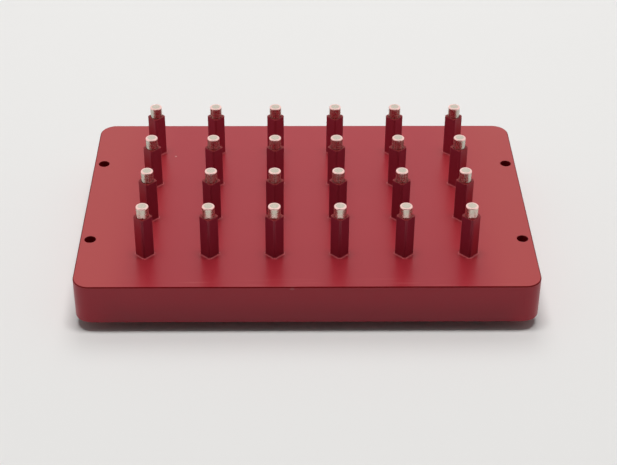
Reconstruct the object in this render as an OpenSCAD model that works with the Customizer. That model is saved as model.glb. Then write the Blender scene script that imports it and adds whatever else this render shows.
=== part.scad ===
// Magnetic separation rack: a milled and anodised aluminium block whose square posts stand
// between the tubes of a 96-well plate, with their flats facing the tubes. Each post holds
// one round magnet, and the block stands on four rubber feet. The middle of the footprint
// is at x = 0, y = 0, the surface that the feet stand on is z = 0, and the front of the
// rack faces -Y.

/* [Plate] */
// Length of the plate, from end to end
plate_length = 127.76; // [115:0.01:150]
// Width of the plate, from front to back
plate_width = 85.48; // [75:0.01:110]
// Thickness of the plate
plate_thickness = 12; // [8:0.5:20]
// Radius of the plate's upright corners
corner_radius = 4.75; // [2:0.25:8]
// Width of the bevel along the plate's top and bottom edges
edge_bevel = 0.25; // [0.1:0.05:0.6]

/* [Mounting holes] */
// Diameter of the four through holes
hole_diameter = 3.3; // [2:0.1:4.2]
// Distance from a hole's centre to the end of the plate
hole_inset = 2.88; // [2.88:0.01:6]
// Distance between the two holes at one end of the plate
hole_spacing = 40; // [20:0.5:50]

/* [Posts] */
// Number of posts along the plate
post_columns = 6; // [2:1:6]
// Number of posts across the plate
post_rows = 4; // [2:1:4]
// Distance between the wells that the posts stand among
well_pitch = 9; // [8:0.1:9.5]
// Height of a post above the plate
post_height = 12.7; // [10:0.1:20]
// Thickness of the wall round a magnet's socket, where the flats of the post are nearest
socket_wall = 0.2; // [0.15:0.05:0.5]
// Width of the flat land where a post's four upright corners are cut off
corner_land = 0.65; // [0.2:0.05:1]
// Width of the bevel round the top of a post
post_bevel = 0.1; // [0.05:0.01:0.14]
// Radius of the fillet left round the foot of a post
root_fillet = 0.45; // [0.2:0.05:1]

/* [Magnets] */
// Diameter of a magnet
magnet_diameter = 3.5; // [2.5:0.1:4.5]
// Length of a magnet
magnet_length = 6; // [5:0.25:12]
// Height of a magnet's top above its post
magnet_stand_out = 3.2; // [1:0.1:4.5]
// Radius of the rounding on a magnet's edges
magnet_rounding = 0.3; // [0.1:0.05:0.4]
// Gap round a magnet in its socket, filled with adhesive
bond_gap = 0.05; // [0.02:0.01:0.15]

/* [Feet] */
// Diameter of a foot
foot_diameter = 8; // [5:0.5:12]
// Height of a foot, which is the gap under the plate
foot_height = 3; // [1.5:0.25:6]
// Radius of the rounding on a foot's lower edge
foot_rounding = 0.8; // [0.3:0.1:1.2]
// Distance from a foot's centre to the end and to the side of the plate
foot_inset = 12; // [8:0.5:20]

/* [Hidden] */
$fn = 96;

// One post stands among four wells, so there is a post for every second well.
post_pitch = 2 * well_pitch;
plate_top = foot_height + plate_thickness;
post_top = plate_top + post_height;
socket_depth = magnet_length - magnet_stand_out;
socket_diameter = magnet_diameter + 2 * bond_gap;
// A post is square and turned by 45 degrees, so that its cut corners face front and sides.
post_width = socket_diameter + 2 * socket_wall;
post_across_corners = post_width * sqrt(2) - corner_land;
hole_x = plate_length / 2 - hole_inset;
hole_y = hole_spacing / 2;
foot_x = plate_length / 2 - foot_inset;
foot_y = plate_width / 2 - foot_inset;

// How far a post's outline reaches down into the plate, so that the two are one solid
post_overlap = 1;
// How far a drill runs past the faces that it opens
drill_margin = 1;

// Each foot's name, its end of the plate (left -1, right 1) and its side (front -1, back 1)
FEET = [
    ["foot_front_left", -1, -1],
    ["foot_front_right", 1, -1],
    ["foot_back_left", -1, 1],
    ["foot_back_right", 1, 1],
];

// Row 1 is at the front and column 1 at the left.
function magnet_name(row, column) = str("magnet_row", row, "_col", column);
function post_x(column) = (column - (post_columns + 1) / 2) * post_pitch;
function post_y(row) = (row - (post_rows + 1) / 2) * post_pitch;

// Upright section of the plate: a slab with bevelled edges
module plate_section(width) {
    side = width / 2;
    face = side - edge_bevel;
    upper = plate_thickness - edge_bevel;
    polygon([
        [-face, 0], [face, 0], [side, edge_bevel], [side, upper],
        [face, plate_thickness], [-face, plate_thickness], [-side, upper], [-side, edge_bevel],
    ]);
}

// The plate: a bar along its length, a bar across it, and a disc in each corner
module plate() {
    straight_length = plate_length - 2 * corner_radius;
    straight_width = plate_width - 2 * corner_radius;
    rotate([90, 0, 90])
        linear_extrude(straight_length, center = true)
            plate_section(plate_width);
    rotate([90, 0, 0])
        linear_extrude(straight_width, center = true)
            plate_section(plate_length);
    for (end = [-1, 1], side = [-1, 1])
        translate([end * straight_length / 2, side * straight_width / 2, 0])
            rotate_extrude()
                intersection() {
                    plate_section(2 * corner_radius);
                    square([corner_radius, plate_thickness]);
                }
}

// Upright section of a ridge of the given width, with a bevel along each edge of its top
// and a fillet along each side of its foot
module ridge_section(width) {
    side = width / 2;
    difference() {
        union() {
            translate([-side - root_fillet, -post_overlap])
                square([2 * (side + root_fillet), post_overlap + root_fillet]);
            polygon([
                [-side, 0],
                [side, 0],
                [side, post_height - post_bevel],
                [side - post_bevel, post_height],
                [-side + post_bevel, post_height],
                [-side, post_height - post_bevel],
            ]);
        }
        for (end = [-1, 1])
            translate([end * (side + root_fillet), root_fillet])
                circle(root_fillet);
    }
}

// A straight ridge on z = 0, along Y when its turn is 0
module ridge(turn, width) {
    reach = 2 * (post_across_corners + 2 * root_fillet);
    rotate([0, 0, turn])
        rotate([90, 0, 0])
            linear_extrude(reach, center = true)
                ridge_section(width);
}

// One post, standing on z = 0: what four crossing ridges have in common. Two make its
// flats, and two make the lands at its corners.
module post() {
    intersection() {
        ridge(45, post_width);
        ridge(-45, post_width);
        ridge(0, post_across_corners);
        ridge(90, post_across_corners);
    }
}

module at_posts() {
    for (row = [1:post_rows], column = [1:post_columns])
        translate([post_x(column), post_y(row), 0])
            children();
}

module drill(diameter, depth) {
    translate([0, 0, -depth])
        cylinder(h = depth + drill_margin, d = diameter);
}

// Plate and posts are milled from one block. A socket is then bored in the top of each
// post, and each end of the plate is drilled twice.
module rack_block() {
    color([0.66, 0.17, 0.20])
        difference() {
            union() {
                translate([0, 0, foot_height]) plate();
                at_posts() translate([0, 0, plate_top]) post();
            }
            at_posts() translate([0, 0, post_top]) drill(socket_diameter, socket_depth);
            for (end = [-1, 1], side = [-1, 1])
                translate([end * hole_x, side * hole_y, plate_top])
                    drill(hole_diameter, plate_thickness + drill_margin);
        }
}

// A round nickel-plated magnet that rests on the floor of its socket
module magnet(row, column) {
    radius = magnet_diameter / 2;
    color([0.80, 0.79, 0.75])
        translate([post_x(column), post_y(row), post_top - socket_depth])
            rotate_extrude() {
                square([radius - magnet_rounding, magnet_length]);
                translate([0, magnet_rounding])
                    square([radius, magnet_length - 2 * magnet_rounding]);
                for (edge = [magnet_rounding, magnet_length - magnet_rounding])
                    translate([radius - magnet_rounding, edge])
                        circle(magnet_rounding);
            }
}

// A round rubber foot, stuck to the underside of the plate
module rubber_foot(end, side) {
    radius = foot_diameter / 2;
    color([0.10, 0.10, 0.10])
        translate([end * foot_x, side * foot_y, 0])
            rotate_extrude() {
                square([radius - foot_rounding, foot_height]);
                translate([0, foot_rounding])
                    square([radius, foot_height - foot_rounding]);
                translate([radius - foot_rounding, foot_rounding])
                    circle(foot_rounding);
            }
}

rack_block();
for (row = [1:post_rows], column = [1:post_columns])
    magnet(row, column);
for (foot = FEET)
    rubber_foot(foot[1], foot[2]);
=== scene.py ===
"""Looks of the magnetic separation rack: finishes, bench, lights and camera, in metres."""

import math

import bmesh
import bpy
from mathutils import Matrix

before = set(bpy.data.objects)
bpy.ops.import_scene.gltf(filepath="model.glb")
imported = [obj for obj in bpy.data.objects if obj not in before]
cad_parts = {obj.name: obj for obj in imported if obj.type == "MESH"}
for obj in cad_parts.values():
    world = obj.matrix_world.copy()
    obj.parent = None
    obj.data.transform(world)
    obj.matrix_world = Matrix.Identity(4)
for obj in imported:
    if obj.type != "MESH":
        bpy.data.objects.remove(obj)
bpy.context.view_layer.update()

# ---------------------------------------------------------------------------------------
# Rack block. The plate and its 24 square posts are milled from one bar of aluminium, the
# posts are bored for their magnets and the ends drilled. The block is then blasted with
# fine beads, dyed red and sealed, which leaves a clear oxide skin with a satin sheen.
# ---------------------------------------------------------------------------------------

PLATE_HALF_LENGTH = 0.06388
PLATE_HALF_WIDTH = 0.04274
PLATE_CORNER = 0.00475
PLATE_TOP = 0.015
PLATE_THICKNESS = 0.012
POST_FOOT = 0.0154
POST_TOP = 0.0277
POST_PITCH = 0.018
FIRST_ROW = -1.5 * POST_PITCH
LAST_ROW = 1.5 * POST_PITCH
END_COLUMN = 2.5 * POST_PITCH

# The first two and last two colours are the block's own; the rest paint light and shade.
DYE = (0.345, 0.0225, 0.0335)
CLOUDED_DYE = (0.360, 0.0245, 0.0355)
POST_PAINTED_SHADE = (0.262, 0.0175, 0.0370)
BACK_POST_PAINTED_LIGHT = (0.390, 0.0400, 0.0720)
OUTER_POST_PAINTED_LIGHT = (0.350, 0.0170, 0.0320)
ENDS_PAINTED_LIGHT = (0.385, 0.0425, 0.0435)
FRONT_PAINTED_SHADE = (0.335, 0.0200, 0.0305)
ROOT_PAINTED_HIGHLIGHT = (0.480, 0.0620, 0.0740)
LEDGE_PAINTED_SHADE = (0.215, 0.0160, 0.0180)
SIDE_PAINTED_SHADE = (0.310, 0.0035, 0.0165)
LOW_SIDE_PAINTED_SHADE = (0.230, 0.0030, 0.0140)
BEVEL_PAINTED_SHADE = (0.150, 0.0035, 0.0060)
THIN_DYE = (0.520, 0.1100, 0.1100)
BARE_METAL = (0.620, 0.4200, 0.4000)

# Where a painted tone of light or shade starts and is full, along the plate or across it.
ENDS_LIGHT_SPAN = (0.036, 0.060)
FRONT_SHADE_SPAN = (0.0, -0.042)
MIDDLE_SHADE_SPAN = (0.056, 0.040)
SIDE_SHADE_SPAN = (0.061, 0.052)

# How far from a face or an axis the narrower tones start or are full; most of them are
# painted light or shade.
SIDE_SHADE_START = 0.002
OUTER_FADE = 0.0012
ROOT_FADE = 0.00015
LEDGE_DEPTH = 0.00012
LINE_FADE = 0.00005
SKIM = 0.00001

METAL_SHARE = 0.12
BLAST_ROUGHNESS = (0.50, 0.56)
SKIN_WEIGHT = 0.75
POST_SKIN_WEIGHT = 0.45
BEVEL_SKIN_SHARE = 0.27
SKIN_ROUGHNESS = 0.32
SKIN_IOR = 1.5
BLAST_GRAIN = 0.00035
BLAST_DEPTH = 0.000004
CLOUD_SIZE = 0.045
EDGE_WIDTH = 0.00016
EDGE_WEAR = 0.35
BEVEL_REACH = 0.00034
BEVEL_CORE = 0.7 * BEVEL_REACH
BEVEL_SKIRT = 1.2 * BEVEL_REACH

SCRATCH_STRETCH = (60.0, 3500.0, 3500.0)
SCRATCH_BAND = (-0.0375, -0.0395)
SCRATCH_SHARE = (0.62, 0.74)
SCRATCH_STRENGTH = 0.35
NICK_PLACE = (-0.0042, -0.0427, 0.0144)
NICK_SIZE = (0.0009, 0.0005, 0.0005)
NICK_STRENGTH = 0.10
SPECK_PLACE = (-0.0395, 0.0243, 0.015)
SPECK_SIZE = (0.0004, 0.0004, 0.0004)
SPECK_STRENGTH = 0.5

# The part of its range that each effect uses, from where it starts to where it is full.
GRAIN_SPAN = (0.3, 0.7)
CLOUD_SPAN = (0.35, 0.65)
EDGE_SPAN = (0.995, 0.90)
MARK_SPAN = (1.0, 0.5)


def add_node(tree, kind, inputs, **settings):
    """Adds a shader node. Each input is a socket to link, or a plain value to set."""
    made = tree.nodes.new("ShaderNode" + kind)
    for name, value in settings.items():
        setattr(made, name, value)
    for name, value in inputs.items():
        if isinstance(value, bpy.types.NodeSocket):
            tree.links.new(value, made.inputs[name])
        else:
            made.inputs[name].default_value = value
    return made


def maths(tree, operation, first, second=0.0):
    """One step of arithmetic on two masks or numbers."""
    return add_node(tree, "Math", {0: first, 1: second}, operation=operation).outputs[0]


def vector_maths(tree, operation, first, second=(0.0, 0.0, 0.0), output="Vector"):
    """One step of arithmetic on two vectors."""
    made = add_node(tree, "VectorMath", {0: first, 1: second}, operation=operation)
    return made.outputs[output]


def fade(tree, value, low, high, to_low=0.0, to_high=1.0):
    """Maps a value from one range to another, smoothly, and holds it at the ends."""
    inputs = {
        "Value": value,
        "From Min": low,
        "From Max": high,
        "To Min": to_low,
        "To Max": to_high,
    }
    made = add_node(tree, "MapRange", inputs, clamp=True, interpolation_type="SMOOTHSTEP")
    return made.outputs["Result"]


def blend_colours(tree, mask, first, second, blend="MIX"):
    """The first colour where the mask is 0, and the second blended in where it is 1."""
    mix = add_node(tree, "Mix", {"Factor": mask}, data_type="RGBA", blend_type=blend)
    slots = [socket for socket in mix.inputs if socket.type == "RGBA"]
    for socket, colour in zip(slots, (first, second)):
        if isinstance(colour, bpy.types.NodeSocket):
            tree.links.new(colour, socket)
        else:
            socket.default_value = (*colour, 1.0)
    return next(socket for socket in mix.outputs if socket.type == "RGBA")


def new_effect(name, inputs, outputs):
    """An empty node group with its named inputs and outputs, which are (name, type) pairs."""
    group = bpy.data.node_groups.new(name, "ShaderNodeTree")
    for label, kind in inputs:
        group.interface.new_socket(label, in_out="INPUT", socket_type="NodeSocket" + kind)
    for label, kind in outputs:
        group.interface.new_socket(label, in_out="OUTPUT", socket_type="NodeSocket" + kind)
    entry = group.nodes.new("NodeGroupInput").outputs
    leave = group.nodes.new("NodeGroupOutput").inputs
    return group, entry, leave


def place_effect(tree, group, inputs):
    """Places an effect in a material with that material's own values."""
    made = tree.nodes.new("ShaderNodeGroup")
    made.node_tree = group
    for name, value in inputs.items():
        if isinstance(value, bpy.types.NodeSocket):
            tree.links.new(value, made.inputs[name])
        else:
            made.inputs[name].default_value = value
    return made.outputs


def surface_grain():
    """Fine bumps all over a surface, of a given size and depth in metres."""
    group, entry, leave = new_effect(
        "surface_grain",
        [("Place", "Vector"), ("Size", "Float"), ("Depth", "Float")],
        [("Grain", "Float"), ("Normal", "Vector")],
    )
    scale = maths(group, "DIVIDE", 1.0, entry["Size"])
    noise = {"Vector": entry["Place"], "Scale": scale, "Detail": 2.0, "Roughness": 0.6}
    grain = add_node(group, "TexNoise", noise).outputs["Fac"]
    bump = {"Strength": 0.35, "Distance": entry["Depth"], "Height": grain}
    group.links.new(grain, leave["Grain"])
    group.links.new(add_node(group, "Bump", bump).outputs["Normal"], leave["Normal"])
    return group


def tone_clouds():
    """Soft clouds in a finish, of a given size in metres."""
    group, entry, leave = new_effect(
        "tone_clouds", [("Place", "Vector"), ("Size", "Float")], [("Mask", "Float")]
    )
    scale = maths(group, "DIVIDE", 1.0, entry["Size"])
    noise = {"Vector": entry["Place"], "Scale": scale, "Detail": 3.0, "Roughness": 0.55}
    clouds = add_node(group, "TexNoise", noise).outputs["Fac"]
    group.links.new(fade(group, clouds, *CLOUD_SPAN), leave["Mask"])
    return group


def edge_wear():
    """A thin line along the edges of a piece, of a given width in metres."""
    group, entry, leave = new_effect("edge_wear", [("Width", "Float")], [("Mask", "Float")])
    rounded = add_node(group, "Bevel", {"Radius": entry["Width"]}, samples=6)
    flat = add_node(group, "NewGeometry", {}).outputs["Normal"]
    agreement = vector_maths(group, "DOT_PRODUCT", rounded.outputs["Normal"], flat, "Value")
    group.links.new(fade(group, agreement, *EDGE_SPAN), leave["Mask"])
    return group


def post_axis():
    """How far a point is from the axis of the nearest post, and its height, in metres."""
    group, entry, leave = new_effect(
        "post_axis", [("Place", "Vector")], [("Distance", "Float"), ("Height", "Float")]
    )
    steps = vector_maths(group, "DIVIDE", entry["Place"], (POST_PITCH,) * 3)
    inside = vector_maths(group, "FRACTION", steps)
    offset = vector_maths(group, "SUBTRACT", inside, (0.5, 0.5, 0.0))
    level = vector_maths(group, "MULTIPLY", offset, (POST_PITCH, POST_PITCH, 0.0))
    group.links.new(vector_maths(group, "LENGTH", level, output="Value"), leave["Distance"])
    height = add_node(group, "SeparateXYZ", {0: entry["Place"]}).outputs["Z"]
    group.links.new(height, leave["Height"])
    return group


GRAIN = surface_grain()
CLOUDS = tone_clouds()
WEAR = edge_wear()
AXIS = post_axis()


def new_material(name):
    """An empty material: its node tree, its Principled shader and its Object coordinates."""
    material = bpy.data.materials.new(name)
    material.use_nodes = True
    tree = material.node_tree
    shader = tree.nodes["Principled BSDF"]
    place = add_node(tree, "TexCoord", {}).outputs["Object"]
    return material, tree, shader, place


def set_surface(tree, shader, inputs):
    """Sets or links the sockets of a Principled shader."""
    for name, value in inputs.items():
        if isinstance(value, bpy.types.NodeSocket):
            tree.links.new(value, shader.inputs[name])
        elif isinstance(value, tuple):
            shader.inputs[name].default_value = (*value, 1.0)
        else:
            shader.inputs[name].default_value = value


def plate_outline(tree, place):
    """How far a point lies outside the plate's outline: negative inside it, in metres."""
    corner_x = PLATE_HALF_LENGTH - PLATE_CORNER
    corner_y = PLATE_HALF_WIDTH - PLATE_CORNER
    folded = vector_maths(tree, "ABSOLUTE", place)
    past = vector_maths(tree, "SUBTRACT", folded, (corner_x, corner_y, 1.0))
    past = vector_maths(tree, "MAXIMUM", past, (0.0, 0.0, 0.0))
    distance = vector_maths(tree, "LENGTH", past, output="Value")
    return maths(tree, "SUBTRACT", distance, PLATE_CORNER)


def mark(tree, place, centre, size, strength):
    """A small mark left by handling: a soft oval at a place on the block."""
    offset = vector_maths(tree, "DIVIDE", vector_maths(tree, "SUBTRACT", place, centre), size)
    length = vector_maths(tree, "LENGTH", offset, output="Value")
    return fade(tree, length, *MARK_SPAN, 0.0, strength)


def anodised_aluminium():
    material, tree, shader, place = new_material("anodised_red")
    grain = place_effect(
        tree, GRAIN, {"Place": place, "Size": BLAST_GRAIN, "Depth": BLAST_DEPTH}
    )
    clouds = place_effect(tree, CLOUDS, {"Place": place, "Size": CLOUD_SIZE})["Mask"]
    wear = place_effect(tree, WEAR, {"Width": EDGE_WIDTH})["Mask"]
    axis = place_effect(tree, AXIS, {"Place": place})
    axes = add_node(tree, "SeparateXYZ", {0: place}).outputs

    # Painted light and shade: the plate is painted darker towards the front in its middle,
    # and paler and pinker at its ends, where no posts shade it.
    colour = blend_colours(tree, clouds, DYE, CLOUDED_DYE)
    along = maths(tree, "ABSOLUTE", axes["X"])
    colour = blend_colours(tree, fade(tree, along, *ENDS_LIGHT_SPAN), colour, ENDS_PAINTED_LIGHT)
    front = fade(tree, axes["Y"], *FRONT_SHADE_SPAN)
    front = maths(tree, "MULTIPLY", front, fade(tree, along, *MIDDLE_SHADE_SPAN))
    colour = blend_colours(tree, front, colour, FRONT_PAINTED_SHADE)

    # Painted shade and light on the posts: darker than the plate and darkest at the front,
    # lighter towards the back, and redder on the outer faces of the end columns, lit from
    # the side.
    on_post = fade(tree, axis["Height"], PLATE_TOP, POST_FOOT)
    to_back = fade(tree, axes["Y"], FIRST_ROW, LAST_ROW)
    post = blend_colours(tree, to_back, POST_PAINTED_SHADE, BACK_POST_PAINTED_LIGHT)
    outer = fade(tree, along, END_COLUMN, END_COLUMN + OUTER_FADE)
    post = blend_colours(tree, outer, post, OUTER_POST_PAINTED_LIGHT)
    colour = blend_colours(tree, on_post, colour, post)

    # Painted highlight and shade: a pale line of light on the fillet at a post's foot, and
    # shade on the ledge round its magnet.
    root_highlight = fade(tree, axes["Z"], PLATE_TOP + SKIM, PLATE_TOP + LINE_FADE)
    below_post = fade(tree, axes["Z"], POST_FOOT, POST_FOOT - ROOT_FADE)
    root_highlight = maths(tree, "MULTIPLY", root_highlight, below_post)
    colour = blend_colours(tree, root_highlight, colour, ROOT_PAINTED_HIGHLIGHT)
    ledge_shade = fade(tree, axes["Z"], POST_TOP - LEDGE_DEPTH, POST_TOP - LINE_FADE)
    colour = blend_colours(tree, ledge_shade, colour, LEDGE_PAINTED_SHADE)

    # Painted shade: the plate's sides are darker than its top, and darker still low down, but
    # not at its corners.
    on_side = fade(tree, axes["Z"], PLATE_TOP - BEVEL_REACH, PLATE_TOP - BEVEL_SKIRT)
    low = fade(tree, axes["Z"], PLATE_TOP - SIDE_SHADE_START, PLATE_TOP - PLATE_THICKNESS)
    low = maths(tree, "MULTIPLY", low, fade(tree, along, *SIDE_SHADE_SPAN))
    side = blend_colours(tree, low, SIDE_PAINTED_SHADE, LOW_SIDE_PAINTED_SHADE)
    colour = blend_colours(tree, on_side, colour, side)

    # The bevel is painted darkest, as a line of shade along the plate's top edge.
    rim = fade(tree, plate_outline(tree, place), -BEVEL_REACH, -BEVEL_CORE)
    top = fade(tree, axes["Z"], PLATE_TOP - BEVEL_REACH, PLATE_TOP - BEVEL_CORE)
    bevel = maths(tree, "MULTIPLY", rim, top)
    colour = blend_colours(tree, bevel, colour, BEVEL_PAINTED_SHADE)
    skin = fade(tree, on_post, 0.0, 1.0, SKIN_WEIGHT, POST_SKIN_WEIGHT)
    skin = maths(tree, "MULTIPLY", skin, fade(tree, bevel, 0.0, 1.0, 1.0, BEVEL_SKIN_SHARE))

    # Fine scratches run along the front edge, and two small marks come from handling.
    stretched = vector_maths(tree, "MULTIPLY", place, SCRATCH_STRETCH)
    lines = add_node(tree, "TexNoise", {"Vector": stretched, "Scale": 1.0, "Detail": 1.0})
    scratches = fade(tree, lines.outputs["Fac"], *SCRATCH_SHARE, 0.0, SCRATCH_STRENGTH)
    near_front = fade(tree, axes["Y"], *SCRATCH_BAND)
    scratches = maths(tree, "MULTIPLY", scratches, near_front)
    on_top = fade(tree, axes["Z"], PLATE_TOP - 2 * SKIM, PLATE_TOP - SKIM)
    scratches = maths(tree, "MULTIPLY", scratches, on_top)
    worn = maths(tree, "MULTIPLY", wear, EDGE_WEAR)
    worn = maths(tree, "MULTIPLY", worn, maths(tree, "SUBTRACT", 1.0, bevel))
    worn = maths(tree, "MAXIMUM", worn, scratches)
    colour = blend_colours(tree, worn, colour, THIN_DYE)
    nick = mark(tree, place, NICK_PLACE, NICK_SIZE, NICK_STRENGTH)
    speck = mark(tree, place, SPECK_PLACE, SPECK_SIZE, SPECK_STRENGTH)
    bare = maths(tree, "MAXIMUM", nick, speck)
    colour = blend_colours(tree, bare, colour, BARE_METAL)

    set_surface(
        tree,
        shader,
        {
            "Base Color": colour,
            "Metallic": METAL_SHARE,
            "Roughness": fade(tree, clouds, 0.0, 1.0, *BLAST_ROUGHNESS),
            "Specular IOR Level": 0.0,
            "Coat Weight": skin,
            "Coat Roughness": SKIN_ROUGHNESS,
            "Coat IOR": SKIN_IOR,
            "Normal": grain["Normal"],
        },
    )
    return material


def finish_node(name, material):
    """Gives a part that is shown as it was built its finish."""
    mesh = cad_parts[name].data
    mesh.materials.clear()
    mesh.materials.append(material)


finish_node("rack_block", anodised_aluminium())

# ---------------------------------------------------------------------------------------
# Magnets. 24 rods of sintered neodymium magnet, tumbled so that their rims are round, and
# plated with nickel over copper. Each is bonded into the bore of its post.
# ---------------------------------------------------------------------------------------

MAGNET_RADIUS = 0.00175
MAGNET_TOP = 0.0309
MAGNET_SHOWS = 0.0032

# Three of these tones are painted: a rim highlight, a red reflection and back-row shade.
FACE_NICKEL = (0.630, 0.565, 0.480)
NICKEL_PAINTED_RIM_HIGHLIGHT = (0.980, 0.650, 0.605)
SIDE_NICKEL = (0.660, 0.585, 0.500)
NICKEL_PAINTED_RED_REFLECTION = (0.760, 0.550, 0.500)
NICKEL_PAINTED_BACK_SHADE = (0.585, 0.565, 0.495)
TARNISHED = (0.93, 0.95, 0.94)

# Where a tone of the nickel starts and where it is full, most of them painted reflection,
# shade or highlight: as a share of what shows of a magnet, in metres below its top, as a
# share of its radius, and in metres across the rack.
RED_REFLECTION_SHARE = (0.35, 0.90)
FACE_DEPTH = (0.00045, 0.00025)
RIM_SHARE = (0.62, 0.78)
BEHIND_FRONT_ROW = (-0.024, -0.012)

NICKEL_ROUGHNESS = (0.24, 0.32)
RIM_DULLING = 0.04
NICKEL_GRAIN = 0.0009
NICKEL_DEPTH = 0.000004
TARNISH_SIZE = 0.0016


def nickel_plate():
    material, tree, shader, place = new_material("nickel_plate")
    grain = place_effect(
        tree, GRAIN, {"Place": place, "Size": NICKEL_GRAIN, "Depth": NICKEL_DEPTH}
    )
    tarnish = place_effect(tree, CLOUDS, {"Place": place, "Size": TARNISH_SIZE})["Mask"]
    axis = place_effect(tree, AXIS, {"Place": place})
    below = maths(tree, "SUBTRACT", MAGNET_TOP, axis["Height"])

    # Painted reflection, shade and highlight: the side is warmer near the post, for the red
    # post it reflects, and darker and greyer behind the front row, as shade. The face is dull
    # from use, and a bright highlight is painted on the rim.
    shown = maths(tree, "DIVIDE", below, MAGNET_SHOWS)
    foot = fade(tree, shown, *RED_REFLECTION_SHARE)
    colour = blend_colours(tree, foot, SIDE_NICKEL, NICKEL_PAINTED_RED_REFLECTION)
    across = add_node(tree, "SeparateXYZ", {0: place}).outputs["Y"]
    behind = fade(tree, across, *BEHIND_FRONT_ROW)
    colour = blend_colours(tree, behind, colour, NICKEL_PAINTED_BACK_SHADE)
    top = fade(tree, below, *FACE_DEPTH)
    colour = blend_colours(tree, top, colour, FACE_NICKEL)
    reach = maths(tree, "DIVIDE", axis["Distance"], MAGNET_RADIUS)
    rim = fade(tree, reach, *RIM_SHARE)
    rim = maths(tree, "MULTIPLY", rim, top)
    colour = blend_colours(tree, rim, colour, NICKEL_PAINTED_RIM_HIGHLIGHT)
    dull = blend_colours(tree, tarnish, (1.0, 1.0, 1.0), TARNISHED)
    colour = blend_colours(tree, 1.0, colour, dull, "MULTIPLY")

    rough = fade(tree, grain["Grain"], *GRAIN_SPAN, *NICKEL_ROUGHNESS)
    rough = maths(tree, "ADD", rough, maths(tree, "MULTIPLY", rim, RIM_DULLING))
    set_surface(
        tree,
        shader,
        {
            "Base Color": colour,
            "Metallic": 1.0,
            "Roughness": rough,
            "Normal": grain["Normal"],
        },
    )
    return material


nickel = nickel_plate()
for node_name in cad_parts:
    if node_name.startswith("magnet_"):
        finish_node(node_name, nickel)

# ---------------------------------------------------------------------------------------
# Feet. Four round pads of black rubber, moulded and stuck to the underside of the plate
# near its corners, so that the plate stands clear of the bench.
# ---------------------------------------------------------------------------------------

RUBBER = (0.022, 0.021, 0.021)
DUSTY_RUBBER = (0.050, 0.047, 0.045)
RUBBER_GRAIN = 0.0004
RUBBER_DEPTH = 0.00003
RUBBER_ROUGHNESS = (0.68, 0.82)
DUST_SIZE = 0.003
DUST_SHARE = 0.4
SCUFF_WIDTH = 0.0004


def black_rubber():
    material, tree, shader, place = new_material("black_rubber")
    grain = place_effect(
        tree, GRAIN, {"Place": place, "Size": RUBBER_GRAIN, "Depth": RUBBER_DEPTH}
    )
    dust = place_effect(tree, CLOUDS, {"Place": place, "Size": DUST_SIZE})["Mask"]
    scuff = place_effect(tree, WEAR, {"Width": SCUFF_WIDTH})["Mask"]
    dusty = maths(tree, "MAXIMUM", maths(tree, "MULTIPLY", dust, DUST_SHARE), scuff)
    set_surface(
        tree,
        shader,
        {
            "Base Color": blend_colours(tree, dusty, RUBBER, DUSTY_RUBBER),
            "Roughness": fade(tree, grain["Grain"], *GRAIN_SPAN, *RUBBER_ROUGHNESS),
            "Normal": grain["Normal"],
        },
    )
    return material


rubber = black_rubber()
for node_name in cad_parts:
    if node_name.startswith("foot_"):
        finish_node(node_name, rubber)

# ---------------------------------------------------------------------------------------
# Bench and backdrop. A round pale sheet under the rack keeps the rack's shadow and runs
# into a pale surround, which gives a little more light near the horizon.
# ---------------------------------------------------------------------------------------

BENCH_COLOUR = (0.800, 0.793, 0.780)
SURROUND_COLOUR = (1.0, 0.992, 0.985)
SURROUND_FILL = 0.26
HORIZON_FILL = 1.00
HORIZON_END = 0.30
BENCH_RADIUS = 4.0
BENCH_FADE = (0.35, 1.1)


def seen_directly_or_in_gloss(tree):
    """1 for camera, mirror and glass rays, and 0 for the rays that only light a surface."""
    path = add_node(tree, "LightPath", {})
    mirrored = maths(
        tree, "MAXIMUM", path.outputs["Is Glossy Ray"], path.outputs["Is Transmission Ray"]
    )
    return maths(tree, "MAXIMUM", path.outputs["Is Camera Ray"], mirrored)


def pale_bench():
    disc = bmesh.new()
    bmesh.ops.create_circle(disc, cap_ends=True, cap_tris=True, segments=96, radius=BENCH_RADIUS)
    mesh = bpy.data.meshes.new("pale_bench")
    disc.to_mesh(mesh)
    disc.free()
    bench = bpy.data.objects.new("pale_bench", mesh)
    bpy.context.scene.collection.objects.link(bench)
    material, tree, shader, place = new_material("pale_bench")
    mesh.materials.append(material)
    set_surface(
        tree,
        shader,
        {"Base Color": BENCH_COLOUR, "Roughness": 0.9, "Specular IOR Level": 0.2},
    )
    distance = vector_maths(tree, "LENGTH", place, output="Value")
    far = fade(tree, distance, *BENCH_FADE)
    far = maths(tree, "MULTIPLY", far, seen_directly_or_in_gloss(tree))
    glow = {"Color": (*SURROUND_COLOUR, 1.0), "Strength": 1.0}
    glow = add_node(tree, "Emission", glow).outputs["Emission"]
    surface = add_node(tree, "MixShader", {0: far, 1: shader.outputs["BSDF"], 2: glow})
    tree.links.new(surface.outputs["Shader"], tree.nodes["Material Output"].inputs["Surface"])


def pale_surround():
    world = bpy.data.worlds.new("pale_surround")
    bpy.context.scene.world = world
    world.use_nodes = True
    tree = world.node_tree
    background = tree.nodes["Background"]
    background.inputs["Color"].default_value = (*SURROUND_COLOUR, 1.0)
    sky = add_node(tree, "TexCoord", {}).outputs["Generated"]
    height = add_node(tree, "SeparateXYZ", {0: sky}).outputs["Z"]
    fill = fade(tree, height, 0.0, HORIZON_END, HORIZON_FILL, SURROUND_FILL)
    shown = seen_directly_or_in_gloss(tree)
    strength = add_node(tree, "MapRange", {"Value": shown, "To Min": fill, "To Max": 1.0})
    tree.links.new(strength.outputs["Result"], background.inputs["Strength"])


pale_bench()
pale_surround()

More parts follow.
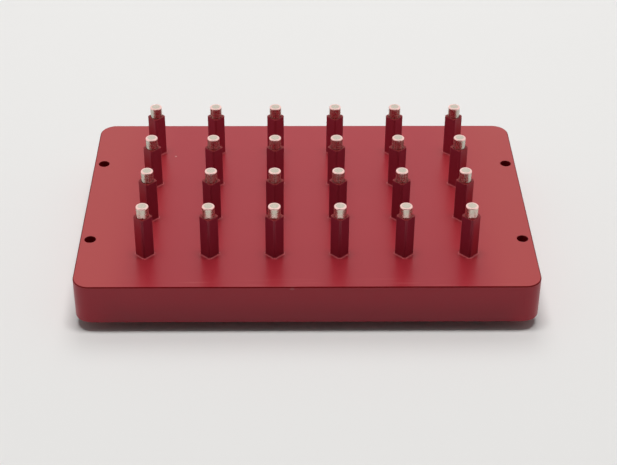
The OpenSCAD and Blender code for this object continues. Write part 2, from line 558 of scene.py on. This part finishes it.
# ---------------------------------------------------------------------------------------
# Lights. A long softbox hangs straight above the rack and a squarer one high behind it.
# A dark card behind the camera keeps light off the rack's front, and isn't seen itself.
# ---------------------------------------------------------------------------------------

KEY_PLACE = (0, 0, 1.9)
KEY_TURN = 0.0
KEY_SIZE = (1.0, 0.20)
KEY_POWER = 23.0
BACK_PLACE = (0, 0.404, 0.76)
BACK_TURN = math.radians(-28)
BACK_SIZE = (0.40, 0.45)
BACK_POWER = 1.6
CARD_COLOUR = (0.04, 0.04, 0.04)
CARD_SIZE = (2.6, 1.5)
CARD_PLACE = (0, -0.80, 0.85)


def softbox(name, place, turn, size, power):
    """A rectangular soft light. Unturned it points straight down."""
    lamp = bpy.data.lights.new(name, "AREA")
    lamp.shape = "RECTANGLE"
    lamp.size, lamp.size_y = size
    lamp.energy = power
    stand = bpy.data.objects.new(name, lamp)
    bpy.context.scene.collection.objects.link(stand)
    stand.location = place
    stand.rotation_euler = (turn, 0, 0)
    stand.visible_glossy = False


def dark_card():
    card = bmesh.new()
    bmesh.ops.create_grid(card, x_segments=1, y_segments=1, size=0.5)
    upright = Matrix.Translation(CARD_PLACE) @ Matrix.Rotation(math.pi / 2, 4, "X")
    card.transform(upright @ Matrix.Diagonal((*CARD_SIZE, 1, 1)))
    mesh = bpy.data.meshes.new("dark_card")
    card.to_mesh(mesh)
    card.free()
    board = bpy.data.objects.new("dark_card", mesh)
    bpy.context.scene.collection.objects.link(board)
    board.visible_camera = False
    material, tree, shader, _ = new_material("dark_card")
    mesh.materials.append(material)
    set_surface(tree, shader, {"Base Color": CARD_COLOUR, "Roughness": 0.9})


softbox("key_softbox", KEY_PLACE, KEY_TURN, KEY_SIZE, KEY_POWER)
softbox("back_softbox", BACK_PLACE, BACK_TURN, BACK_SIZE, BACK_POWER)
dark_card()

# ---------------------------------------------------------------------------------------
# Camera. It looks down on the rack from above its front, turned and rolled by a degree or
# less, through a long lens.
# ---------------------------------------------------------------------------------------

CAMERA_PLACE = (-0.0053645, -0.369019, 0.258487)
CAMERA_DOWN = math.radians(34.650)
CAMERA_YAW = math.radians(-0.960)
CAMERA_ROLL = math.radians(0.438)
CAMERA_LENS = 88.0
CAMERA_SENSOR = 36.0

camera = bpy.data.cameras.new("camera")
camera.sensor_width = CAMERA_SENSOR
camera.lens = CAMERA_LENS
tripod = bpy.data.objects.new("camera", camera)
bpy.context.scene.collection.objects.link(tripod)
tripod.matrix_world = (
    Matrix.Translation(CAMERA_PLACE)
    @ Matrix.Rotation(CAMERA_YAW, 4, "Z")
    @ Matrix.Rotation(math.pi / 2 - CAMERA_DOWN, 4, "X")
    @ Matrix.Rotation(CAMERA_ROLL, 4, "Z")
)
bpy.context.scene.camera = tripod
bpy.context.scene.view_settings.view_transform = "Standard"
